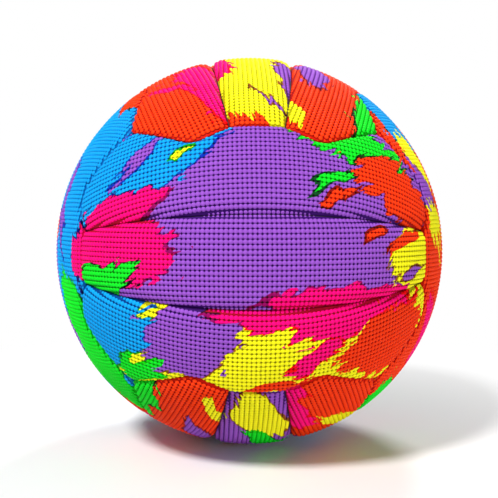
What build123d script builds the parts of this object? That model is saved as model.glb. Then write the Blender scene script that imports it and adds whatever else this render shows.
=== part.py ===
"""Netball: six faces of three turned-edge rubber strips, sewn over cloth linings, a bladder and a valve."""

import os
from math import acos, asin, atan, cos, degrees, radians, sin, sqrt, tan

from build123d import *

os.makedirs("parts", exist_ok=True)

# The ball and the layout of its seams, in millimetres and in degrees seen from the ball's centre
ball_diameter = 222.0
strip_half_angle = 12.0  # half the middle strip's width
crest_height = 36.3  # middle of a face up to the middle of its long edge
bay_drop = 3.2  # how much lower the edge is at its two bays, which take the neighbour's strip ends
bay_station = 19.4  # middle of the long edge to the deepest point of a bay
bay_shoulder = 2.8  # deepest point of a bay to where its rounded bottom ends
bay_shoulder_rise = 0.9
seam_gap = 0.3

# The sheet of a panel: pimpled rubber over plies of cloth, its edges turned in at the seams
cover_thickness = 1.4
turn_width = 4.0
turn_depth = 2.6
lining_thickness = 2.0
glue_line = 0.1

# Flat waxed thread under the turned edges
thread_width = 1.6
thread_thickness = 0.5
thread_gap = 0.1
thread_end_gap = 1.2

# The bladder, with a flat seat for the valve
bladder_gap = 0.2
bladder_wall = 0.8
valve_seat_radius = 13.0

# The valve: a moulded body bonded inside the bladder, and the plug that seals round the needle
neck_radius = 4.8
neck_recess = 0.9
flange_radius = 11.0
flange_thickness = 1.4
nipple_length = 5.0
valve_fit = 0.15
plug_radius = 3.0
plug_recess = 0.3
plug_fit = 0.1
needle_radius = 1.1
needle_depth = 9.0
funnel_radius = 1.9
funnel_depth = 0.8

# How finely the crowned sheets are divided
strip_spans = 8
middle_chords = 3
outer_chords = 3
turn_chords = 2
approach_spans = 2
bladder_rings = 10
bladder_sides = 20

ball_radius = ball_diameter / 2
bay_height = crest_height - bay_drop
corner_angle = 45.0
corner_overrun = 2.0
rise_sweep = corner_angle + 2 * corner_overrun - bay_height
run_sweep = (corner_angle - bay_station) / 2 + corner_overrun
cutter_sweep = max(rise_sweep, run_sweep)
cutter_margin = ball_radius * (1 / cos(radians(cutter_sweep)) - 1)


def slope(angle):
    return tan(radians(angle))


def arc_angle(length):
    """Angle at the ball's centre of a length on its surface."""
    return degrees(length / ball_radius)


def point(radius, angle):
    return (radius * cos(radians(angle)), radius * sin(radians(angle)))


# Every face has the same frame: X along its strips, Y across them and Z out of the ball.
# The long edge runs from corner to corner: a crest in the middle, as wide as the neighbour's
# middle strip, then a bay, then a straight stretch up to the corner.
crest_end = degrees(atan(slope(crest_height) * slope(strip_half_angle)))
bay_start = bay_station - bay_shoulder
bay_end = bay_station + bay_shoulder
edge_wave = [
    (0.0, crest_height),
    (crest_end, crest_height),
    (bay_start, bay_height + bay_shoulder_rise),
    (bay_station, bay_height),
    (bay_end, bay_height + bay_shoulder_rise),
    (corner_angle, corner_angle),
]
approach = [bay_end + (corner_angle - bay_end) * step / approach_spans for step in range(1, approach_spans)]
edge_half = [crest_end, bay_start, bay_station, bay_end, *approach, corner_angle]
edge_stations = [-station for station in reversed(edge_half)] + [0.0] + edge_half
cutter_end = corner_angle + corner_overrun

# A strip ends at its neighbour's long edge, furthest out at the bay
bay_run = sqrt(1 + slope(bay_height) ** 2 + slope(bay_station) ** 2)
strip_reach = degrees(acos(slope(bay_height) / bay_run))
crest_run = sqrt(1 + slope(crest_height) ** 2 + slope(crest_end) ** 2)
middle_reach = degrees(asin(1 / crest_run))
slice_angles = [strip_reach * (2 * span / strip_spans - 1) for span in range(strip_spans + 1)]
outer_width = corner_angle + corner_overrun - strip_half_angle

# A facet's middle dips below the round it stands for, along the strip and across it
sag_along = ball_radius * (1 - cos(radians(strip_reach / strip_spans)))
sag_across = ball_radius * (1 - cos(radians(outer_width / outer_chords / 2)))

# Depths below the ball's surface
lining_top = cover_thickness + glue_line
lining_floor = lining_top + lining_thickness
thread_top = turn_depth + sag_along + sag_across + thread_gap
thread_floor = thread_top + thread_thickness
bladder_top = max(thread_floor, lining_floor + sag_across) + sag_along + bladder_gap


def long_edge(station):
    """Latitude of the long edge on the meridian at a station along the strips."""
    along = slope(abs(station))
    for (start, start_height), (stop, stop_height) in zip(edge_wave, edge_wave[1:]):
        share = (along - slope(start)) / (slope(stop) - slope(start))
        if along <= slope(stop):
            break
    rise = slope(start_height) + share * (slope(stop_height) - slope(start_height))
    return degrees(atan(rise * cos(radians(station))))


def meridian(station):
    """Plane through the Y axis: its X points out of the ball and its Y along the axis."""
    turn = radians(station)
    return Plane(origin=(0, 0, 0), x_dir=(sin(turn), 0, cos(turn)), z_dir=(-cos(turn), 0, sin(turn)))


def slice_plane(along):
    """Plane across the strips: its X points out of the ball and its Y across the strips."""
    return Plane(origin=(along, 0, 0), x_dir=(0, 0, 1), z_dir=(-1, 0, 0))


def turned_edge(offset):
    """Distance from the seam and depth of a turned edge, from its wall up to the crown.

    The sheet's face lies the offset below the ball's surface, and only the outermost face is rounded.
    """
    wall = seam_gap / 2 + offset
    chords = 1 if offset else turn_chords
    rows = []
    for step in range(chords + 1):
        turn = radians(90 * step / chords)
        width = wall + (turn_width - wall) * (1 - cos(turn))
        rows.append((width, turn_depth - (turn_depth - offset) * sin(turn)))
    return rows


def faceted(planes, outlines):
    """Body of flat facets through one closed outline on each plane."""
    rings = [[plane.from_local_coords(spot) for spot in outline] for plane, outline in zip(planes, outlines)]
    facets = [rings[0], rings[-1]]
    for near, far in zip(rings, rings[1:]):
        for step in range(len(near)):
            facets.append((near[step - 1], near[step], far[step]))
            facets.append((near[step - 1], far[step], far[step - 1]))
    return Solid(Shell([Face(Wire.make_polygon(facet)) for facet in facets])).clean()


def along_slices(alongs, rows):
    """Body that follows the strips: each row keeps its angle about the strips' axis and its depth."""
    outlines = []
    for along in alongs:
        outlines.append([point(sqrt((ball_radius - depth) ** 2 - along**2), angle) for angle, depth in rows])
    return faceted([slice_plane(along) for along in alongs], outlines)


def along_edge(stations, rows):
    """Body that follows the long edge: each row keeps its distance past the edge and its depth."""
    outlines = []
    for station in stations:
        seam = long_edge(station)
        outlines.append([point(ball_radius - depth, seam + arc_angle(past)) for past, depth in rows])
    return faceted([meridian(station) for station in stations], outlines)


def strip_sheet(low, high, chords, offset, floor):
    """Crowned strip between two straight seams, or from one seam out past the long edge."""
    edge = turned_edge(offset)
    rim = seam_gap / 2 + max(offset, cover_thickness)
    crown_start = low + arc_angle(turn_width)
    crown_stop = high - arc_angle(turn_width) if low < 0 else high
    crown = [crown_start + (crown_stop - crown_start) * step / chords for step in range(1, chords)]
    face = [(low + arc_angle(width), depth) for width, depth in edge]
    face += [(angle, offset) for angle in crown]
    back = [low + arc_angle(rim), *crown]
    if floor > turn_depth:
        back = [low + arc_angle(edge[0][0]), *crown]
    if low < 0:
        face += [(high - arc_angle(width), depth) for width, depth in reversed(edge)]
        back += [-back[0]]
    else:
        face += [(high, offset)]
        back += [high]
    rows = face + [(angle, floor) for angle in reversed(back)]
    return along_slices([ball_radius * sin(radians(angle)) for angle in slice_angles], rows)


def edge_cutter(offset, side):
    """What lies past a long edge, with the turned edge's round: side 1 trims strip ends, side -1 the strip."""
    edge = turned_edge(offset)
    deep = max(turn_depth, lining_floor) + cutter_margin
    sweep = radians(cutter_sweep) * ball_radius
    rows = [(side * width, depth) for width, depth in edge]
    rows += [(side * edge[-1][0], -cutter_margin), (-side * sweep, -cutter_margin)]
    rows += [(-side * sweep, deep), (side * edge[0][0], deep)]
    return along_edge([-cutter_end, *edge_stations, cutter_end], rows)


# A face's neighbours at the two ends of its strips, whose own strips run along this face's Y
end_neighbours = [
    Plane(origin=(0, 0, 0), x_dir=(0, 1, 0), z_dir=(1, 0, 0)),
    Plane(origin=(0, 0, 0), x_dir=(0, -1, 0), z_dir=(-1, 0, 0)),
]
# The neighbour above the face, whose strips run along this face's Z
upper_neighbour = Plane(origin=(0, 0, 0), x_dir=(0, 0, 1), z_dir=(0, 1, 0))


def middle_strip(offset, floor):
    with BuildPart() as strip:
        add(strip_sheet(-strip_half_angle, strip_half_angle, middle_chords, offset, floor))
        with Locations(*end_neighbours):
            add(edge_cutter(offset, 1), mode=Mode.SUBTRACT)
    return strip.part


def outer_strip(offset, floor):
    with BuildPart() as strip:
        add(strip_sheet(strip_half_angle, corner_angle + corner_overrun, outer_chords, offset, floor))
        add(edge_cutter(offset, -1), mode=Mode.SUBTRACT)
        with Locations(*end_neighbours):
            add(edge_cutter(offset, 1), mode=Mode.SUBTRACT)
    return strip.part


def cover_of(strip):
    """Rubber sheet: open below, with its edges turned in all round."""
    with BuildPart() as sheet:
        add(strip(0, turn_depth))
        add(strip(cover_thickness, turn_depth + cover_thickness), mode=Mode.SUBTRACT)
    return sheet.part


def thread_rows(middle, scale):
    """Flat thread centred on a seam, its width scaled to the rows' own measure."""
    half = scale * thread_width / 2
    return [
        (middle - half, thread_top),
        (middle + half, thread_top),
        (middle + half, thread_floor),
        (middle - half, thread_floor),
    ]


def seam_thread(angle):
    """Thread under a straight seam, from one end of the middle strip to the other."""
    reach = (ball_radius - thread_floor) * sin(radians(middle_reach)) + thread_width / 2
    slices = [ball_radius * sin(radians(slice_angle)) for slice_angle in slice_angles]
    inner = [along for along in slices if abs(along) < reach - thread_width]
    return along_slices([-reach, *inner, reach], thread_rows(angle, arc_angle(1)))


def edge_thread(start, stop):
    """Thread under the long edge between two stations."""
    inner = [station for station in edge_stations if start + 1 < station < stop - 1]
    return along_edge([start, *inner, stop], thread_rows(0, 1))


# The two kinds of panel, and the threads round a middle strip and at a corner
middle_cover = cover_of(middle_strip)
outer_cover = cover_of(outer_strip)
middle_lining = middle_strip(lining_top, lining_floor)
outer_lining = outer_strip(lining_top, lining_floor)

overlap = arc_angle(thread_width / 2)
with BuildPart() as middle_thread:
    add(seam_thread(strip_half_angle))
    add(seam_thread(-strip_half_angle))
    with Locations(*end_neighbours):
        add(edge_thread(-crest_end - overlap, crest_end + overlap))

corner_start = crest_end + overlap + arc_angle(thread_end_gap)
with BuildPart() as corner_thread:
    with Locations(Plane.XY, end_neighbours[0], upper_neighbour):
        add(edge_thread(corner_start, corner_angle + overlap / 2))

# The bladder, a faceted globe on the valve's axis with a flat seat at each end
bladder_radius = ball_radius - bladder_top


def globe(radius):
    seat_angle = degrees(asin(valve_seat_radius / radius))
    ring_step = (180 - 2 * seat_angle) / bladder_rings
    planes, outlines = [], []
    for ring in range(bladder_rings + 1):
        height, ring_radius = point(radius, seat_angle + ring_step * ring)
        planes.append(Plane.XY.offset(height))
        outlines.append([point(ring_radius, 360 * side / bladder_sides) for side in range(bladder_sides)])
    return faceted(planes, outlines)


# Each face's plane has its X along the strips; the strips are named from its +Y side to its -Y side
face_planes = {
    "front": Plane(origin=(0, 0, 0), x_dir=(1, 0, 0), z_dir=(0, -1, 0)),
    "back": Plane(origin=(0, 0, 0), x_dir=(-1, 0, 0), z_dir=(0, 1, 0)),
    "right": Plane(origin=(0, 0, 0), x_dir=(0, 0, 1), z_dir=(1, 0, 0)),
    "left": Plane(origin=(0, 0, 0), x_dir=(0, 0, -1), z_dir=(-1, 0, 0)),
    "top": Plane(origin=(0, 0, 0), x_dir=(0, 1, 0), z_dir=(0, 0, 1)),
    "bottom": Plane(origin=(0, 0, 0), x_dir=(0, -1, 0), z_dir=(0, 0, -1)),
}
strip_names = {
    "front": ("upper", "middle", "lower"),
    "back": ("upper", "middle", "lower"),
    "right": ("front", "middle", "back"),
    "left": ("front", "middle", "back"),
    "top": ("left", "middle", "right"),
    "bottom": ("left", "middle", "right"),
}
valve_face = "back"
valve_plane = face_planes[valve_face]


def export(solid, name):
    solid.label = name
    export_step(solid, f"parts/{name}.step")


# The panels of the six faces, with the valve's hole in one of them
for face, plane in face_planes.items():
    seats = (plane, plane, plane * Rotation(0, 0, 180))
    covers = (outer_cover, middle_cover, outer_cover)
    linings = (outer_lining, middle_lining, outer_lining)
    for strip, seat, cover, lining in zip(strip_names[face], seats, covers, linings):
        for kind, sheet in (("cover", cover), ("lining", lining)):
            with BuildPart(seat) as panel:
                add(sheet)
                if face == valve_face and strip == "middle":
                    Cylinder(
                        neck_radius + valve_fit,
                        ball_radius,
                        align=(Align.CENTER, Align.CENTER, Align.MIN),
                        mode=Mode.SUBTRACT,
                    )
            export(panel.part, f"{face}_{strip}_{kind}")
    with BuildPart(plane) as ring:
        add(middle_thread.part)
    export(ring.part, f"{face}_middle_thread")

# The threads at the eight corners, mirrored from side to side and turned about the ball's axes
for side in ("right", "left"):
    for level in ("top", "bottom"):
        for end in ("front", "back"):
            with BuildPart(face_planes["front"]) as knot:
                add(corner_thread.part)
            corner = knot.part
            if side == "left":
                corner = mirror(corner, about=Plane.YZ)
            if level == "bottom":
                corner = mirror(corner, about=Plane.XY)
            if end == "back":
                corner = mirror(corner, about=Plane.XZ)
            export(corner, f"{end}_{level}_{side}_thread")

# The bladder, hollow, with a hole for the valve's neck
bladder_inner = bladder_radius - bladder_wall
seat_height = sqrt(bladder_inner**2 - valve_seat_radius**2)
with BuildPart(valve_plane) as bladder:
    add(globe(bladder_radius))
    add(globe(bladder_inner), mode=Mode.SUBTRACT)
    Cylinder(
        neck_radius + valve_fit,
        ball_radius,
        align=(Align.CENTER, Align.CENTER, Align.MIN),
        mode=Mode.SUBTRACT,
    )
export(bladder.part, "bladder")

# The valve's profile, as distance from its axis and height along it
valve_section = Plane(
    origin=(0, 0, 0),
    x_dir=valve_plane.x_dir,
    z_dir=valve_plane.x_dir.cross(valve_plane.z_dir),
)
valve_axis = Axis((0, 0, 0), valve_plane.z_dir)
neck_top = ball_radius - neck_recess
flange_top = seat_height - glue_line
flange_floor = flange_top - flange_thickness
nipple_floor = flange_floor - nipple_length
plug_top = neck_top - plug_recess
with BuildPart() as valve_body:
    with BuildSketch(valve_section):
        with BuildLine():
            Polyline(
                (plug_radius + plug_fit, nipple_floor),
                (neck_radius, nipple_floor),
                (neck_radius, flange_floor),
                (flange_radius, flange_floor),
                (flange_radius, flange_top),
                (neck_radius, flange_top),
                (neck_radius, neck_top),
                (plug_radius + plug_fit, neck_top),
                close=True,
            )
        make_face()
    revolve(axis=valve_axis)
export(valve_body.part, "valve_body")

with BuildPart() as valve_plug:
    with BuildSketch(valve_section):
        with BuildLine():
            Polyline(
                (0, nipple_floor),
                (plug_radius, nipple_floor),
                (plug_radius, plug_top),
                (funnel_radius, plug_top),
                (needle_radius, plug_top - funnel_depth),
                (needle_radius, plug_top - needle_depth),
                (0, plug_top - needle_depth),
                close=True,
            )
        make_face()
    revolve(axis=valve_axis)
export(valve_plug.part, "valve_plug")
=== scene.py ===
from math import cos, pi, radians, sin, tan

import bpy
import numpy as np
from mathutils import Matrix, Vector


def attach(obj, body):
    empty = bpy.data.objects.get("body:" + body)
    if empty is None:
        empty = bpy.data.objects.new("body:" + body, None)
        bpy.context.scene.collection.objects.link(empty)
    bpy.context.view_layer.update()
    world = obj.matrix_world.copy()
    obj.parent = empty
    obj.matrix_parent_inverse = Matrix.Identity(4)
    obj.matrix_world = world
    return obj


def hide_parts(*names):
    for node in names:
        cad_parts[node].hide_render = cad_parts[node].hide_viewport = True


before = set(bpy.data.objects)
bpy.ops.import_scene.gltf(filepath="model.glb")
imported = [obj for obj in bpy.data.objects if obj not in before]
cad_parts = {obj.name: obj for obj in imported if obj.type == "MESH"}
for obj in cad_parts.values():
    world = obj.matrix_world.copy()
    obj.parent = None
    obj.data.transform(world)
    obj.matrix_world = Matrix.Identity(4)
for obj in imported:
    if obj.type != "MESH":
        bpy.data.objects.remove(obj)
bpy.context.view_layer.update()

# The ball and its seams, as the solids have them: millimetres, and degrees seen from the ball's centre
BALL_RADIUS = 111.0
STRIP_HALF_ANGLE = 12.0
CREST_HEIGHT = 36.3
BAY_HEIGHT = 33.1
BAY_STATION = 19.4
OUTER_STRIP_MIDDLE = 25.3
VALVE_PANEL = "back_middle"
NECK_HOLE_RADIUS = 4.95

# Roundings of the long edge, as slopes, and of a panel's corners
BAY_ROUND = 0.098
CREST_ROUND = 0.02
CORNER_ROUND = 2.2

# How a panel rounds over, width then depth: deep into a face's straight seams, little into its long ones.
# Its grid stops at a margin from the seams, and rows of points at lesser margins lead it over its edge.
STRAIGHT_ROLL = (7.5, 2.7)
LONG_ROLL = (4.0, 1.1)
GRID_MARGIN = 0.42
EDGE_ROWS = (0.39, 0.36, 0.34)
EDGE_DROP = 1.6
SETTLE_ROUNDS = 6
HOLE_DIP = 0.5
HOLE_DIP_WIDTH = 1.2

# The pimples stand on every third crossing of the sheet's grid, and are wide enough to run together, so
# that small hollows are left between each four. They shrink to a least share beside a seam and by the valve.
# The skirt is the share of a pimple's height over which its colour clears from the painted shade of the
# hollows.
PIMPLE_PITCH = (2.27, 2.46)
PIMPLE_RADIUS = 1.38
PIMPLE_HEIGHT = 0.9
PIMPLE_SKIRT = 0.5
PIMPLE_LEAST = 0.3
VALVE_FADE = (1, 2)
VALVE_LEAST = 0.01
DOME_SIDES = 8
BALL_RINGS = 6
SHEET_REACH = (120, 36)
GRID_PER_PITCH = 3

MM = 0.001

# Threads, grain and clouding of the inner pieces in millimetres, drawn coarser than real where they would
# not show. A wave texture repeats every tenth of pi at a scale of 1, and noise lies mostly in its middle.
CLOTH_THREAD = 0.8
THREAD_TWIST = 0.9
LATEX_CLOUD = 12
LATEX_ROUGHNESS = (0.42, 0.58)
MOULD_GRAIN = 0.4
WAVE_REPEAT = pi / 10
NOISE_RANGE = (0.3, 0.7)

# The studio, in metres and watts
FLOOR_HALF_WIDTH = 4.0
FLOOR_FADE = (0.14, 0.42)
ROOM_LIGHT = 0.17
FLOOR_BOUNCE = 0.7
FLOOR_PALE = 0.9
LAMPS = {
    "key_lamp": ((-0.8, -1.1, 1.45), 0.4, 43.0),
    "fill_lamp": ((1.1, -1.5, 0.2), 0.8, 12.0),
    "back_lamp": ((0.5, 1.2, 1.7), 0.6, 26.0),
}
CAMERA_PLACE = (-0.0228, -0.5057, 0.0261)
CAMERA_LENS = 61.7
CAMERA_SHIFT = (-0.00076, 0.00365)

# The print: brush work as wavelength, stretch, lean in degrees and push, in millimetres, and flung drops
BRUSH_WORK = ((34, 1.0, 0, 24), (26, 1.0, 90, 18), (4.5, 5.0, 28, 34), (2.2, 2.0, 28, 9))
RIM_WIDTH = 0.9
DROP_SPACING = 7
DROP_SIZE = 0.34
DROP_THRESHOLD = 0.45
DROP_THROW = 0.9
PRINTS_APART = 90

# The rubber: its patchy bloom, and the painted shade and deeper colour of the hollows between the pimples,
# which stand in for the shade and bounced light there and are drawn stronger than real so that the pimples
# show. The bare rims by the seams count as risen from the hollows, so they get painted shade too, most by
# the straight seams.
BLOOM_SIZE = 6
BLOOM_ROUGHNESS = (0.54, 0.68)
HOLLOW_SHADE = 0.26
HOLLOW_DEPTH = 2.2
# Painted shade by the seams and the valve's hole: the margins over which it fades, and how far it is lifted
BARE_RIM = (1.6, 2.6)
STRAIGHT_RIM_RISE = 0.25
LONG_RIM_RISE = 0.6

INKS = {
    "orange": "#F23A08",
    "pink": "#F6007A",
    "purple": "#9150BE",
    "blue": "#089CE2",
    "green": "#0CDF26",
    "yellow": "#F4F018",
}

# Each panel's ground ink, then its dabs: ink, along, across, half length, half width, turn
PRINTS = {
    "front_upper": ("purple", [
        ("blue", -62, 9, 54, 21, 20), ("purple", -60, 10, 20, 4, 36), ("pink", -84, -16, 38, 9, 4),
        ("yellow", -34, 10, 10, 2, 24), ("green", 50, 17, 42, 12, -14), ("green", 40, -7, 17, 4, 22),
        ("orange", 80, -4, 32, 16, -20), ("orange", 44, -15, 15, 3, 14),
    ]),
    "front_middle": ("purple", [
        ("pink", -80, 4, 38, 22, 0), ("green", -86, -13, 26, 9, 10), ("pink", 52, -20, 58, 8, 0),
        ("yellow", 94, 2, 20, 18, 10), ("orange", 84, 10, 14, 4, 30), ("purple", 92, -6, 8, 3, 30),
        ("orange", 64, 14, 8, 2, 30),
    ]),
    "front_lower": ("yellow", [
        ("blue", -88, 4, 32, 28, 0), ("green", -62, -16, 16, 9, 24), ("yellow", -60, -8, 9, 3, 30),
        ("purple", -36, 9, 24, 22, 20), ("pink", 34, 20, 64, 10, -4), ("orange", 72, -3, 28, 20, 14),
        ("pink", 30, 0, 18, 7, 30), ("orange", 12, -18, 16, 4, 20),
    ]),
    "top_left": ("orange", [
        ("pink", -66, -15, 44, 11, 6), ("pink", -58, 2, 15, 4, 40), ("purple", 64, 2, 44, 18, 16),
        ("yellow", 12, 8, 30, 12, 30), ("green", 4, -18, 26, 6, 12), ("blue", 98, -8, 22, 16, 20),
    ]),
    "top_middle": ("yellow", [
        ("pink", -40, 18, 26, 7, 8), ("orange", -106, 4, 10, 14, 0), ("purple", -68, -18, 36, 7, 10),
        ("purple", -84, -6, 11, 2, 60), ("blue", 20, 4, 44, 12, 28), ("green", 44, -16, 26, 6, 14),
        ("pink", 84, -4, 28, 18, 20),
    ]),
    "top_right": ("orange", [
        ("purple", -40, 12, 26, 10, 8), ("yellow", -94, 18, 13, 5, 30), ("green", -64, -21, 36, 9, 4),
        ("pink", 12, -2, 42, 14, 30), ("yellow", 60, 10, 34, 10, 20), ("blue", 96, -8, 22, 16, 12),
    ]),
    "left_front": ("blue", [
        ("orange", -104, 4, 14, 18, 0), ("purple", -30, -12, 34, 6, 14), ("green", 54, 6, 46, 20, 6),
        ("orange", 102, -4, 18, 16, 20), ("pink", -4, 18, 20, 5, 0), ("purple", 40, -16, 20, 5, 20),
    ]),
    "left_middle": ("purple", [
        ("blue", -66, 4, 44, 18, 20), ("yellow", 4, -8, 36, 8, 32), ("pink", 62, -2, 42, 14, 22),
        ("green", 98, -8, 22, 12, 30), ("orange", -20, 14, 22, 5, 20),
    ]),
    "left_back": ("green", [
        ("purple", -72, 2, 42, 18, 24), ("orange", -8, -8, 36, 12, 28), ("yellow", 36, 14, 28, 8, 20),
        ("blue", 86, 0, 36, 22, 20), ("pink", 50, -12, 20, 5, 34),
    ]),
    "right_front": ("orange", [
        ("blue", 84, 4, 28, 18, 0), ("yellow", 54, 2, 16, 14, 30), ("purple", 34, 8, 18, 12, 20),
        ("yellow", 14, 2, 12, 16, 30), ("pink", -50, -6, 34, 10, 28), ("green", -94, 4, 24, 16, 20),
    ]),
    "right_middle": ("purple", [
        ("green", -74, 4, 40, 16, 22), ("pink", -6, 8, 38, 12, 26), ("yellow", 32, -14, 28, 7, 24),
        ("orange", 84, 0, 36, 20, 20), ("blue", -30, -16, 22, 5, 20),
    ]),
    "right_back": ("blue", [
        ("pink", -80, -2, 38, 20, 18), ("yellow", -20, 10, 30, 10, 30), ("orange", 32, -8, 36, 12, 24),
        ("green", 88, 4, 32, 20, 20), ("purple", 8, 16, 22, 5, 20),
    ]),
    "back_upper": ("pink", [
        ("orange", -80, 0, 40, 20, 20), ("yellow", -16, -10, 34, 10, 28), ("blue", 36, 8, 38, 12, 24),
        ("green", 90, -4, 30, 20, 20), ("purple", -40, 14, 24, 5, 20),
    ]),
    "back_middle": ("blue", [
        ("yellow", -84, 2, 36, 20, 18), ("purple", -30, -12, 32, 9, 20), ("pink", 28, 12, 34, 9, 24),
        ("orange", 80, -2, 38, 20, 22), ("green", 50, -16, 22, 5, 20),
    ]),
    "back_lower": ("purple", [
        ("green", -82, 2, 36, 20, 20), ("blue", -20, 8, 34, 10, 26), ("orange", 26, -10, 36, 10, 26),
        ("yellow", 86, 4, 32, 20, 18), ("pink", -48, -16, 22, 5, 20),
    ]),
    "bottom_left": ("orange", [
        ("green", 58, 22, 36, 10, 4), ("yellow", 84, -14, 14, 4, 30), ("purple", 48, -14, 20, 7, 30),
        ("pink", -10, -4, 44, 14, 26), ("blue", -82, 4, 36, 20, 20), ("yellow", -40, 16, 22, 5, 20),
    ]),
    "bottom_middle": ("purple", [
        ("yellow", 82, -2, 26, 12, 30), ("green", 44, -8, 30, 9, 24), ("orange", -14, 2, 40, 14, 24),
        ("pink", -84, -2, 34, 20, 20), ("blue", 12, 16, 24, 5, 20),
    ]),
    "bottom_right": ("orange", [
        ("pink", 86, 16, 30, 10, 0), ("yellow", 40, -8, 30, 9, 26), ("blue", -16, 6, 42, 12, 26),
        ("green", -84, -4, 34, 20, 18), ("purple", 20, 16, 22, 5, 20),
    ]),
}


def linear(code):
    """Linear colour of an sRGB hex value."""
    channels = [int(code[i:i + 2], 16) / 255 for i in (1, 3, 5)]
    return [c / 12.92 if c <= 0.04045 else ((c + 0.055) / 1.055) ** 2.4 for c in channels] + [1.0]


def add_node(tree, kind, links=None, **settings):
    """Adds a node: links go to its inputs, by name or place, as sockets or plain values."""
    node = tree.nodes.new(kind)
    for name, value in settings.items():
        setattr(node, name, value)
    for name, value in (links or {}).items():
        if isinstance(value, bpy.types.NodeSocket):
            tree.links.new(value, node.inputs[name])
        else:
            node.inputs[name].default_value = value
    return node


# The six faces: the way the strips run, the way out of the ball, and the strips from one side to the other
FACES = {
    "front": ((1, 0, 0), (0, -1, 0), ("upper", "middle", "lower")),
    "back": ((-1, 0, 0), (0, 1, 0), ("upper", "middle", "lower")),
    "right": ((0, 0, 1), (1, 0, 0), ("front", "middle", "back")),
    "left": ((0, 0, -1), (-1, 0, 0), ("front", "middle", "back")),
    "top": ((0, 1, 0), (0, 0, 1), ("left", "middle", "right")),
    "bottom": ((0, -1, 0), (0, 0, -1), ("left", "middle", "right")),
}


def soft_min(a, b, width):
    """The lesser of two values, rounded over where they are closer than the width."""
    blend = np.maximum(width - np.abs(a - b), 0) / width
    return np.minimum(a, b) - blend**2 * width / 4


def long_edge(u):
    """Height of a face's long edge at u along the strips, both as slopes from the ball's centre."""
    u = np.abs(u)
    crest = tan(radians(CREST_HEIGHT))
    crest_end = crest * tan(radians(STRIP_HALF_ANGLE))
    bay = tan(radians(BAY_STATION))
    bottom = tan(radians(BAY_HEIGHT)) - BAY_ROUND / 4
    fall = bottom + (bay - u) * (crest - bottom) / (bay - crest_end)
    rise = bottom + (u - bay) * (1 - bottom) / (1 - bay)
    return -soft_min(-soft_min(fall, crest, CREST_ROUND), -rise, BAY_ROUND)


def past_long_edge(along, across, out):
    """Millimetres past a face's long edge, for unit directions given in that face's axes."""
    u = along / out
    v = across / out
    step = 1e-4
    slope = (long_edge(u + step) - long_edge(u - step)) / (2 * step)
    steepness = np.sqrt(slope**2 + 1 + (v - slope * u) ** 2) / out
    return BALL_RADIUS * (v - long_edge(u)) / steepness


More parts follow.
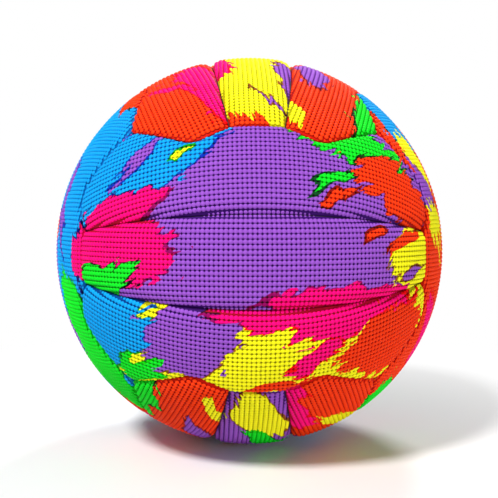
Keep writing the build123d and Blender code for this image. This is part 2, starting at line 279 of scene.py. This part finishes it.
class Panel:
    """One strip of the cover, laid out in its sheet's own millimetres along and across."""

    def __init__(self, face, place):
        along, out, strips = FACES[face]
        x_axis, z_axis = Vector(along), Vector(out)
        face_axes = Matrix((x_axis, z_axis.cross(x_axis), z_axis))
        lean = Matrix.Rotation(place * radians(OUTER_STRIP_MIDDLE), 3, "X")
        self.face_axes, self.axes = np.array(face_axes), np.array(lean @ face_axes)
        self.name, self.place = f"{face}_{strips[1 - place]}", place
        self.has_valve = self.name == VALVE_PANEL

    def directions(self, sheet):
        """Unit directions from the ball's centre to places on the sheet."""
        turn, rise = np.moveaxis(sheet / BALL_RADIUS, -1, 0)
        level = np.cos(rise)
        return np.stack((np.sin(turn) * level, np.sin(rise), np.cos(turn) * level), -1) @ self.axes

    def seam_margins(self, sheet):
        """Millimetres inside the strip's straight seams and inside its long ones. The ways out of the faces
        are kept off zero, which only matters far from the seams."""
        x, y, z = np.moveaxis(self.directions(sheet) @ self.face_axes.T, -1, 0)
        half = radians(STRIP_HALF_ANGLE)
        ends = past_long_edge(y, z, np.maximum(np.abs(x), 0.3))
        if self.place == 0:
            sides = [BALL_RADIUS * np.arcsin(cos(half) * side * y + sin(half) * z) for side in (1, -1)]
            return np.minimum(*sides), ends
        y = self.place * y
        side = BALL_RADIUS * np.arcsin(cos(half) * y - sin(half) * z)
        return side, soft_min(-past_long_edge(x, y, np.maximum(z, 0.1)), ends, CORNER_ROUND)

    def margin(self, sheet):
        """Millimetres inside the seams round the strip, rounded over at the corners."""
        return soft_min(*self.seam_margins(sheet), CORNER_ROUND)

    def hole_margin(self, sheet):
        """Millimetres outside the hole for the valve's neck."""
        return np.hypot(sheet[..., 0], sheet[..., 1]) - NECK_HOLE_RADIUS

    def settle(self, sheet, goal):
        """Moves points along the sheet until they lie the goal inside the seams."""
        step = 0.02
        for _ in range(SETTLE_ROUNDS):
            rises = [self.margin(sheet + s) - self.margin(sheet - s) for s in np.eye(2) * step]
            slope = np.stack(rises, -1) / (2 * step)
            reach = (goal - self.margin(sheet)) / np.maximum((slope**2).sum(-1), 0.25)
            sheet = sheet + slope * reach[..., None]
        return sheet

    def surface(self, sheet, sunk):
        """Points of the sheet, rounded over towards its seams, in metres."""
        margins = zip(self.seam_margins(sheet), (STRAIGHT_ROLL, LONG_ROLL))
        rolls = [deep * np.clip(1 - margin / wide, 0, 1) ** 2 for margin, (wide, deep) in margins]
        depth = sunk + np.maximum(*rolls)
        if self.has_valve:
            depth = depth + HOLE_DIP * np.clip(1 - self.hole_margin(sheet) / HOLE_DIP_WIDTH, 0, 1) ** 2
        return self.directions(sheet) * ((BALL_RADIUS - depth) * MM)[..., None]

    def mesh(self):
        """The sheet's grid, cut back from its edges, then led over them row by row."""
        step = np.array(PIMPLE_PITCH) / GRID_PER_PITCH
        counts = [int(reach / one) for reach, one in zip(SHEET_REACH, step)]
        i, j = np.meshgrid(*(np.arange(-count, count + 1) for count in counts), indexing="ij")
        grid = np.stack((i, j), -1) * step
        keep = self.margin(grid) > GRID_MARGIN
        if self.has_valve:
            keep &= self.hole_margin(grid) > step.max()
        cells = keep[:-1, :-1] & keep[1:, :-1] & keep[1:, 1:] & keep[:-1, 1:]
        used = np.zeros_like(keep)
        for di, dj in ((0, 0), (1, 0), (1, 1), (0, 1)):
            used[di:di + cells.shape[0], dj:dj + cells.shape[1]] |= cells
        number = np.cumsum(used).reshape(used.shape) - 1
        corners = number[:-1, :-1], number[1:, :-1], number[1:, 1:], number[:-1, 1:]
        quads = np.stack(corners, -1)[cells]
        sheet, sunk = [grid[used]], [np.zeros(used.sum())]
        pimples = ((i % GRID_PER_PITCH == 0) & (j % GRID_PER_PITCH == 0))[used]

        sides = np.concatenate([quads[:, [k, (k + 1) % 4]] for k in range(4)])
        shared = set(map(tuple, sides))
        rim = np.array([side for side in sides if (side[1], side[0]) not in shared])
        starts = np.unique(rim)
        faces, total = [quads], len(pimples)
        spots, current = sheet[0][starts], starts
        at_hole = self.has_valve & (np.hypot(*spots.T) < 2 * NECK_HOLE_RADIUS)
        for row, goal in enumerate((*EDGE_ROWS, EDGE_ROWS[-1])):
            last = row == len(EDGE_ROWS)
            around = spots / np.hypot(*spots.T)[:, None] * (NECK_HOLE_RADIUS + goal / 2)
            spots = np.where(at_hole[:, None], around, spots if last else self.settle(spots, goal))
            fresh = total + np.arange(len(starts))
            a, b = np.searchsorted(starts, rim).T
            faces.append(np.stack((current[b], current[a], fresh[a], fresh[b]), -1))
            sheet.append(spots)
            sunk.append(np.full(len(starts), EDGE_DROP * last))
            current, total = fresh, total + len(starts)

        sheet = np.concatenate(sheet)
        points = self.surface(sheet, np.concatenate(sunk))
        mesh = bpy.data.meshes.new(self.name)
        mesh.from_pydata(points, [], np.concatenate(faces).tolist())
        mesh.shade_smooth()
        has_pimple = np.concatenate((pimples, np.zeros(total - len(pimples), bool)))
        mesh.attributes.new("has_pimple", "BOOLEAN", "POINT").data.foreach_set("value", has_pimple)
        mesh.attributes.new("growth", "FLOAT", "POINT").data.foreach_set("value", self.growth(sheet))
        # The sheet's rise sets its painted shade beside the seams and the hole.
        mesh.attributes.new("rise", "FLOAT", "POINT").data.foreach_set("value", self.bare_rim(sheet))
        return mesh

    def growth(self, sheet):
        """Share of full size that a pimple has, so that none reaches over its seam."""
        growth = np.clip(self.margin(sheet) / PIMPLE_RADIUS, PIMPLE_LEAST, 1)
        if self.has_valve:
            growth *= np.interp(self.hole_margin(sheet), VALVE_FADE, (VALVE_LEAST, 1))
        return growth

    def bare_rim(self, sheet):
        """How far the sheet itself counts as risen from the hollows, beside its seams and its hole: this
        sets its painted shade, darkest by the straight seams.
        """
        straight, long = self.seam_margins(sheet)
        rises = [
            np.interp(straight, BARE_RIM, (STRAIGHT_RIM_RISE, 0)),
            np.interp(long, BARE_RIM, (LONG_RIM_RISE, 0)),
        ]
        if self.has_valve:
            rises.append(np.interp(self.hole_margin(sheet), BARE_RIM, (LONG_RIM_RISE, 0)))
        return np.max(rises, axis=0)


def pimple_tree():
    """Grows a low dome on every marked point of a sheet, and marks how far it has risen from the hollows,
    which sets the painted shade of its colour.
    """
    tree = bpy.data.node_groups.new("moulded_pimples", "GeometryNodeTree")
    for name, kind, way in (
        ("Sheet", "Geometry", "INPUT"),
        ("Pimple radius", "Float", "INPUT"),
        ("Pimple height", "Float", "INPUT"),
        ("Finish", "Material", "INPUT"),
        ("Pimpled sheet", "Geometry", "OUTPUT"),
    ):
        tree.interface.new_socket(name, in_out=way, socket_type="NodeSocket" + kind)
    given = add_node(tree, "NodeGroupInput").outputs
    ball = add_node(tree, "GeometryNodeMeshUVSphere", {
        "Segments": DOME_SIDES, "Rings": BALL_RINGS, "Radius": 1.0,
    })
    spot = add_node(tree, "GeometryNodeInputPosition").outputs[0]
    place = add_node(tree, "ShaderNodeSeparateXYZ", {0: spot})
    below = add_node(tree, "FunctionNodeCompare", {0: place.outputs["Z"], 1: 0.0}, operation="LESS_THAN")
    dome = add_node(tree, "GeometryNodeDeleteGeometry", {0: ball.outputs[0], 1: below.outputs[0]},
                    domain="FACE")
    # The rise carries the painted shade: the dome's colour clears from the hollows' painted shade over its
    # skirt.
    clear = add_node(tree, "ShaderNodeMapRange", {0: place.outputs["Z"], 1: 0.0, 2: PIMPLE_SKIRT})
    shaded = add_node(tree, "GeometryNodeStoreNamedAttribute", {
        "Geometry": dome.outputs[0], "Name": "rise", "Value": clear.outputs[0],
    }, data_type="FLOAT", domain="POINT")
    girth, height = given["Pimple radius"], given["Pimple height"]
    size = add_node(tree, "ShaderNodeCombineXYZ", {0: girth, 1: girth, 2: height})
    shaped = add_node(tree, "GeometryNodeTransform", {
        "Geometry": shaded.outputs[0], "Scale": size.outputs[0],
    })
    normal = add_node(tree, "GeometryNodeInputNormal").outputs[0]
    upright = add_node(tree, "FunctionNodeAlignRotationToVector", {"Vector": normal}, axis="Z")
    marked = add_node(tree, "GeometryNodeInputNamedAttribute", {"Name": "has_pimple"}, data_type="BOOLEAN")
    growth = add_node(tree, "GeometryNodeInputNamedAttribute", {"Name": "growth"}, data_type="FLOAT")
    grown = add_node(tree, "GeometryNodeInstanceOnPoints", {
        "Points": given["Sheet"], "Selection": marked.outputs[0], "Instance": shaped.outputs[0],
        "Rotation": upright.outputs[0], "Scale": growth.outputs[0],
    })
    whole = add_node(tree, "GeometryNodeJoinGeometry", {0: given["Sheet"]})
    tree.links.new(grown.outputs[0], whole.inputs[0])
    plain = add_node(tree, "GeometryNodeRealizeInstances", {0: whole.outputs[0]})
    smooth = add_node(tree, "GeometryNodeSetShadeSmooth", {0: plain.outputs[0]})
    finished = add_node(tree, "GeometryNodeSetMaterial", {0: smooth.outputs[0], "Material": given["Finish"]})
    add_node(tree, "NodeGroupOutput", {0: finished.outputs[0]})
    return tree


def ragged_sheet():
    """Node group: place on a panel's sheet in millimetres, pushed about as a brush pushes its paint."""
    tree = bpy.data.node_groups.new("ragged_sheet", "ShaderNodeTree")
    for name in ("Along", "Across", "Out", "Sheet number"):
        tree.interface.new_socket(name, in_out="INPUT", socket_type="NodeSocketVector")
    tree.interface.new_socket("Place", in_out="OUTPUT", socket_type="NodeSocketVector")
    tree.interface.new_socket("Drops", in_out="OUTPUT", socket_type="NodeSocketFloat")
    given = add_node(tree, "NodeGroupInput").outputs
    spot = add_node(tree, "ShaderNodeTexCoord").outputs["Object"]
    way = add_node(tree, "ShaderNodeVectorMath", {0: spot}, operation="NORMALIZE").outputs[0]
    parts = [add_node(tree, "ShaderNodeVectorMath", {0: way, 1: given[name]}, operation="DOT_PRODUCT")
             for name in ("Along", "Across", "Out")]
    x, y, z = (part.outputs["Value"] for part in parts)
    turn = add_node(tree, "ShaderNodeMath", {0: x, 1: z}, operation="ARCTAN2")
    rise = add_node(tree, "ShaderNodeMath", {0: y}, operation="ARCSINE")
    flat = add_node(tree, "ShaderNodeCombineXYZ", {0: turn.outputs[0], 1: rise.outputs[0]})
    sheet = add_node(tree, "ShaderNodeVectorMath", {0: flat.outputs[0], "Scale": BALL_RADIUS},
                     operation="SCALE")
    place = sheet.outputs[0]
    for wavelength, stretch, lean, push in BRUSH_WORK:
        own = add_node(tree, "ShaderNodeVectorMath", {0: place, 1: given["Sheet number"]}, operation="ADD")
        laid = add_node(tree, "ShaderNodeMapping", {
            "Vector": own.outputs[0], "Rotation": (0, 0, radians(lean)),
            "Scale": (wavelength * stretch, wavelength, wavelength),
        }, vector_type="TEXTURE")
        noise = add_node(tree, "ShaderNodeTexNoise", {
            "Vector": laid.outputs[0], "Scale": 1.0, "Detail": 2.0,
        })
        shove = add_node(tree, "ShaderNodeMapRange", {0: noise.outputs[0], 3: -push / 2, 4: push / 2})
        stroke = (cos(radians(lean)), sin(radians(lean)), 0)
        push_by = add_node(tree, "ShaderNodeVectorMath", {0: stroke, "Scale": shove.outputs[0]},
                           operation="SCALE")
        moved = add_node(tree, "ShaderNodeVectorMath", {0: place, 1: push_by.outputs[0]}, operation="ADD")
        place = moved.outputs[0]
    cells = add_node(tree, "ShaderNodeTexVoronoi", {"Vector": place, "Scale": 1 / DROP_SPACING})
    blob = add_node(tree, "ShaderNodeMapRange", {0: cells.outputs["Distance"], 1: DROP_SIZE, 2: 0.0})
    pick = add_node(tree, "ShaderNodeSeparateColor", {0: cells.outputs["Color"]})
    throw = add_node(tree, "ShaderNodeMapRange", {0: pick.outputs[0], 1: DROP_THRESHOLD, 4: DROP_THROW})
    drops = add_node(tree, "ShaderNodeMath", {0: blob.outputs[0], 1: throw.outputs[0]}, operation="MULTIPLY")
    add_node(tree, "NodeGroupOutput", {0: place, 1: drops.outputs[0]})
    return tree


def ink_stroke():
    """Node group: lays one oval dab of ink over the print; its clear rim darkens what is under it."""
    tree = bpy.data.node_groups.new("ink_stroke", "ShaderNodeTree")
    for name, kind in (("Under", "Color"), ("Place", "Vector"), ("Drops", "Float"), ("Centre", "Vector"),
                       ("Turn", "Vector"), ("Size", "Vector"), ("Solid reach", "Float"), ("Ink", "Color")):
        tree.interface.new_socket(name, in_out="INPUT", socket_type="NodeSocket" + kind)
    tree.interface.new_socket("Print", in_out="OUTPUT", socket_type="NodeSocketColor")
    given = add_node(tree, "NodeGroupInput").outputs
    local = add_node(tree, "ShaderNodeMapping", {
        "Vector": given["Place"], "Location": given["Centre"], "Rotation": given["Turn"],
        "Scale": given["Size"],
    }, vector_type="TEXTURE")
    away = add_node(tree, "ShaderNodeVectorMath", {0: local.outputs[0]}, operation="LENGTH").outputs["Value"]
    reach = add_node(tree, "ShaderNodeMath", {0: away, 1: given["Drops"]}, operation="SUBTRACT").outputs[0]
    touched = add_node(tree, "ShaderNodeMath", {0: reach, 1: 1.0}, operation="LESS_THAN")
    solid = add_node(tree, "ShaderNodeMath", {0: reach, 1: given["Solid reach"]}, operation="LESS_THAN")
    rim = add_node(tree, "ShaderNodeMix", {0: touched.outputs[0], 6: given["Under"], 7: given["Ink"]},
                   data_type="RGBA", blend_type="MULTIPLY")
    dab = add_node(tree, "ShaderNodeMix", {0: solid.outputs[0], 6: rim.outputs[2], 7: given["Ink"]},
                   data_type="RGBA")
    add_node(tree, "NodeGroupOutput", {0: dab.outputs[2]})
    return tree


def printed_rubber(panel, number, ground, strokes, sheet_group, stroke_group):
    """Moulded natural rubber, screen printed in flat bright inks: an even satin face, with the colours
    running on over the pimples, and painted shade that makes them darker and deeper in the hollows and by
    the seams, standing in for the shade and bounced light there."""
    material = bpy.data.materials.new(f"printed_pimpled_rubber_{panel.name}")
    material.use_nodes = True
    tree = material.node_tree
    shader = tree.nodes["Principled BSDF"]
    shader.inputs["IOR"].default_value = 1.52
    shader.inputs["Specular IOR Level"].default_value = 0.08
    along, across, out = (tuple(axis) for axis in panel.axes)
    place = add_node(tree, "ShaderNodeGroup", {
        "Along": along, "Across": across, "Out": out, "Sheet number": (0, 0, PRINTS_APART * number),
    }, node_tree=sheet_group)
    colour = linear(INKS[ground])
    for ink, x, y, length, width, turn in strokes:
        dab = add_node(tree, "ShaderNodeGroup", {
            "Under": colour, "Ink": linear(INKS[ink]), "Place": place.outputs[0], "Drops": place.outputs[1],
            "Centre": (x, y, 0), "Turn": (0, 0, radians(turn)), "Size": (length, width, 1),
            "Solid reach": 1 - RIM_WIDTH / min(length, width),
        }, node_tree=stroke_group)
        colour = dab.outputs[0]
    # Painted shade: the print darkens and deepens where the rise is low, between the pimples and by the
    # seams.
    rise = add_node(tree, "ShaderNodeAttribute", attribute_name="rise").outputs["Fac"]
    depth = add_node(tree, "ShaderNodeMapRange", {0: rise, 3: HOLLOW_DEPTH, 4: 1.0})
    deep = add_node(tree, "ShaderNodeGamma", {0: colour, 1: depth.outputs[0]})
    shade = add_node(tree, "ShaderNodeMapRange", {0: rise, 3: HOLLOW_SHADE, 4: 1.0})
    print_with_painted_shade = add_node(tree, "ShaderNodeMix", {0: 1.0, 6: deep.outputs[0], 7: shade.outputs[0]},
                            data_type="RGBA", blend_type="MULTIPLY")
    tree.links.new(print_with_painted_shade.outputs[2], shader.inputs["Base Color"])
    spot = add_node(tree, "ShaderNodeTexCoord").outputs["Object"]
    bloom = add_node(tree, "ShaderNodeTexNoise", {
        "Vector": spot, "Scale": 1 / (BLOOM_SIZE * MM), "Detail": 3.0,
    })
    satin = add_node(tree, "ShaderNodeMapRange", {
        0: bloom.outputs[0], 1: NOISE_RANGE[0], 2: NOISE_RANGE[1],
        3: BLOOM_ROUGHNESS[0], 4: BLOOM_ROUGHNESS[1],
    })
    tree.links.new(satin.outputs[0], shader.inputs["Roughness"])
    return material


def make_panels():
    """The 18 panels, each in place of its cover."""
    pimples, sheet_group, stroke_group = pimple_tree(), ragged_sheet(), ink_stroke()
    panels = [Panel(face, place) for face in FACES for place in (1, 0, -1)]
    inputs = {item.name: item.identifier for item in pimples.interface.items_tree}
    for number, panel in enumerate(panels):
        ground, strokes = PRINTS[panel.name]
        draft = bpy.data.objects.new("draft", panel.mesh())
        bpy.context.scene.collection.objects.link(draft)
        grow = draft.modifiers.new("pimples", "NODES")
        grow.node_group = pimples
        grow[inputs["Pimple radius"]] = PIMPLE_RADIUS * MM
        grow[inputs["Pimple height"]] = PIMPLE_HEIGHT * MM
        grow[inputs["Finish"]] = printed_rubber(panel, number, ground, strokes, sheet_group, stroke_group)
        grown = draft.evaluated_get(bpy.context.evaluated_depsgraph_get())
        mesh = bpy.data.meshes.new_from_object(grown)
        bpy.data.objects.remove(draft)
        piece = bpy.data.objects.new(f"{panel.name}_panel", mesh)
        bpy.context.scene.collection.objects.link(piece)
        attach(piece, "root")
        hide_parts(f"{panel.name}_cover")


def plain_material(name, colour, roughness, ior=1.5):
    """A new material on a plain shader, with its tree, its shader and the object's own coordinates."""
    material = bpy.data.materials.new(name)
    material.use_nodes = True
    tree = material.node_tree
    shader = tree.nodes["Principled BSDF"]
    shader.inputs["Base Color"].default_value = linear(colour)
    shader.inputs["Roughness"].default_value = roughness
    shader.inputs["IOR"].default_value = ior
    spot = add_node(tree, "ShaderNodeTexCoord").outputs["Object"]
    return material, tree, shader, spot


def lining_cloth():
    """Woven cotton stuck under the rubber: a dull dark cloth with a small square weave. Its colour is not
    known; it is taken dark so that the gaps at the seams show dark, as the deep shade there would.
    """
    material, tree, shader, spot = plain_material("woven_cotton_lining", "#2E2C2E", 0.9)
    waves = {"Vector": spot, "Scale": WAVE_REPEAT / (CLOTH_THREAD * MM)}
    weft = add_node(tree, "ShaderNodeTexWave", waves, bands_direction="X")
    warp = add_node(tree, "ShaderNodeTexWave", waves, bands_direction="Z")
    weave = add_node(tree, "ShaderNodeMath", {0: weft.outputs[1], 1: warp.outputs[1]}, operation="MAXIMUM")
    bump = add_node(tree, "ShaderNodeBump", {
        "Height": weave.outputs[0], "Distance": 0.1 * MM, "Strength": 0.6,
    })
    tree.links.new(bump.outputs[0], shader.inputs["Normal"])
    return material


def waxed_thread():
    """Bonded polyester thread drawn through wax: dark, with a low sheen broken by its twist."""
    material, tree, shader, spot = plain_material("waxed_polyester_thread", "#2B2A30", 0.55)
    twist = add_node(tree, "ShaderNodeTexNoise", {"Vector": spot, "Scale": 1 / (THREAD_TWIST * MM)})
    bump = add_node(tree, "ShaderNodeBump", {
        "Height": twist.outputs[0], "Distance": 0.2 * MM, "Strength": 0.5,
    })
    tree.links.new(bump.outputs[0], shader.inputs["Normal"])
    return material


def dipped_latex():
    """Dipped natural latex: a tan, slightly waxy skin with soft cloudy patches."""
    material, tree, shader, spot = plain_material("dipped_latex", "#C9A978", 0.5)
    cloud = add_node(tree, "ShaderNodeTexNoise", {"Vector": spot, "Scale": 1 / (LATEX_CLOUD * MM)})
    waxy = add_node(tree, "ShaderNodeMapRange", {
        0: cloud.outputs[0], 1: NOISE_RANGE[0], 2: NOISE_RANGE[1],
        3: LATEX_ROUGHNESS[0], 4: LATEX_ROUGHNESS[1],
    })
    tree.links.new(waxy.outputs[0], shader.inputs["Roughness"])
    return material


def valve_rubber():
    """Compression moulded black butyl: soft, dark and nearly matt, with the mould's faint grain."""
    material, tree, shader, spot = plain_material("moulded_butyl_valve", "#1C1C1F", 0.5)
    grain = add_node(tree, "ShaderNodeTexNoise", {"Vector": spot, "Scale": 1 / (MOULD_GRAIN * MM)})
    bump = add_node(tree, "ShaderNodeBump", {
        "Height": grain.outputs[0], "Distance": 0.05 * MM, "Strength": 0.4,
    })
    tree.links.new(bump.outputs[0], shader.inputs["Normal"])
    return material


def dress_inner_pieces():
    """Materials for the solids that show as they are."""
    finishes = {"lining": lining_cloth(), "thread": waxed_thread(), "bladder": dipped_latex()}
    finishes["body"] = finishes["plug"] = valve_rubber()
    for name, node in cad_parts.items():
        finish = finishes.get(name.rsplit("_", 1)[-1])
        if finish:
            node.data.materials.clear()
            node.data.materials.append(finish)


def make_floor():
    """Pale painted floor: near white, dull, and lost in the white backdrop away from the ball."""
    half = FLOOR_HALF_WIDTH
    level = -(BALL_RADIUS + PIMPLE_HEIGHT) * MM
    mesh = bpy.data.meshes.new("studio_floor")
    corners = [(x * half, y * half, level) for x, y in ((-1, -1), (1, -1), (1, 1), (-1, 1))]
    mesh.from_pydata(corners, [], [(0, 1, 2, 3)])
    floor = bpy.data.objects.new("studio_floor", mesh)
    bpy.context.scene.collection.objects.link(floor)
    material, tree, shader, spot = plain_material("pale_floor_paint", "#F4F4F4", 0.9)
    away = add_node(tree, "ShaderNodeVectorMath", {0: spot}, operation="LENGTH").outputs["Value"]
    fade = add_node(tree, "ShaderNodeMapRange", {0: away, 1: FLOOR_FADE[0], 2: FLOOR_FADE[1]},
                    interpolation_type="SMOOTHSTEP")
    seen = seen_directly(tree)
    far = add_node(tree, "ShaderNodeMath", {0: fade.outputs[0], 1: seen}, operation="MULTIPLY")
    paint = add_node(tree, "ShaderNodeMapRange", {0: seen, 3: FLOOR_BOUNCE, 4: FLOOR_PALE})
    tree.links.new(paint.outputs[0], shader.inputs["Base Color"])
    white = add_node(tree, "ShaderNodeEmission", {"Color": (1, 1, 1, 1), "Strength": 1.0})
    mixed = add_node(tree, "ShaderNodeMixShader", {
        0: far.outputs[0], 1: shader.outputs[0], 2: white.outputs[0],
    })
    tree.links.new(mixed.outputs[0], tree.nodes["Material Output"].inputs["Surface"])
    mesh.materials.append(material)


def seen_directly(tree):
    """Socket that is 1 for rays from the camera and for those that mirrors and glass send on."""
    path = add_node(tree, "ShaderNodeLightPath").outputs
    seen = path["Is Camera Ray"]
    for kind in ("Is Glossy Ray", "Is Transmission Ray"):
        seen = add_node(tree, "ShaderNodeMath", {0: seen, 1: path[kind]}, operation="MAXIMUM").outputs[0]
    return seen


def light_the_studio():
    """A white room that lights the ball a little, and three soft lamps."""
    world = bpy.data.worlds.new("studio")
    world.use_nodes = True
    tree = world.node_tree
    back = tree.nodes["Background"]
    back.inputs["Color"].default_value = (1, 1, 1, 1)
    level = add_node(tree, "ShaderNodeMapRange", {0: seen_directly(tree), 3: ROOM_LIGHT, 4: 1.0})
    tree.links.new(level.outputs[0], back.inputs["Strength"])
    bpy.context.scene.world = world
    for name, (place, width, power) in LAMPS.items():
        lamp = bpy.data.lights.new(name, "AREA")
        lamp.shape, lamp.size, lamp.energy = "DISK", width, power
        holder = bpy.data.objects.new(name, lamp)
        holder.location = place
        holder.rotation_euler = (-Vector(place)).to_track_quat("-Z", "Y").to_euler()
        bpy.context.scene.collection.objects.link(holder)


def place_camera():
    """The photograph's camera, fitted to the ball's outline."""
    lens = bpy.data.cameras.new("camera")
    lens.sensor_width, lens.lens = 36, CAMERA_LENS
    lens.shift_x, lens.shift_y = CAMERA_SHIFT
    camera = bpy.data.objects.new("camera", lens)
    camera.location = CAMERA_PLACE
    camera.rotation_euler = (-Vector(CAMERA_PLACE)).to_track_quat("-Z", "Y").to_euler()
    bpy.context.scene.collection.objects.link(camera)
    bpy.context.scene.camera = camera


make_panels()
dress_inner_pieces()
make_floor()
light_the_studio()
place_camera()
bpy.context.scene.view_settings.view_transform = "Standard"
